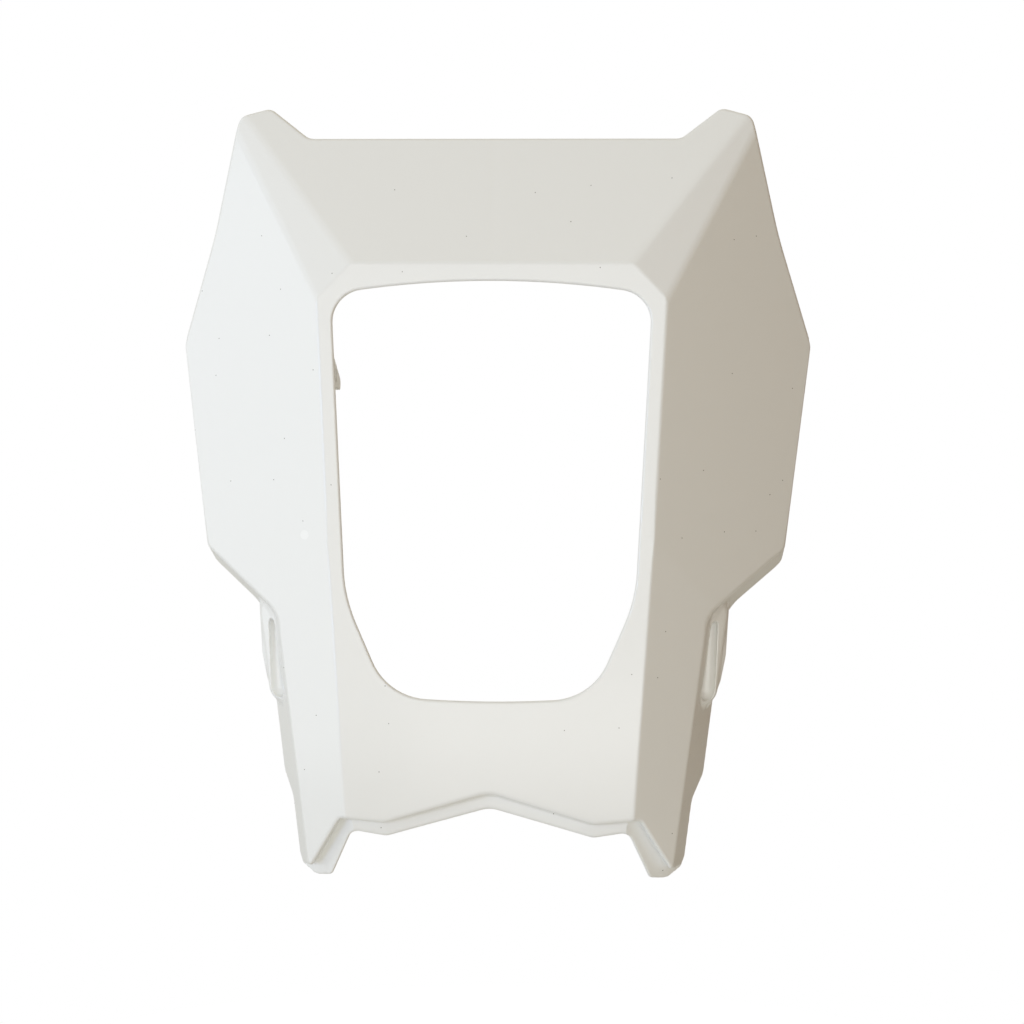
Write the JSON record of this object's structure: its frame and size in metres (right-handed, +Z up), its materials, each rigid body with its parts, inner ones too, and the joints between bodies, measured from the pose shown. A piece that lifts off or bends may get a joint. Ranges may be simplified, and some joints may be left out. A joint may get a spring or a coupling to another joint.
{
  "type": "motorbike headlight cowl",
  "caption": "White moulded headlight cowl for an off-road motorbike: faceted shell with an open lamp window, swept side wings, ears and two legs.",
  "frame": {"origin": "midway between the two bracket screws, in the plane of their bosses' rear faces", "axes": "+X towards the rider's left, +Y backwards to the rider (the face looks to -Y), +Z up"},
  "size_m": [0.2718, 0.074, 0.3203],
  "materials": {
    "white_plastic": "white polypropylene, glossy as moulded, side walls satin"
  },
  "bodies": {
    "root": {"cowl": "white_plastic"}
  },
  "joints": []
}
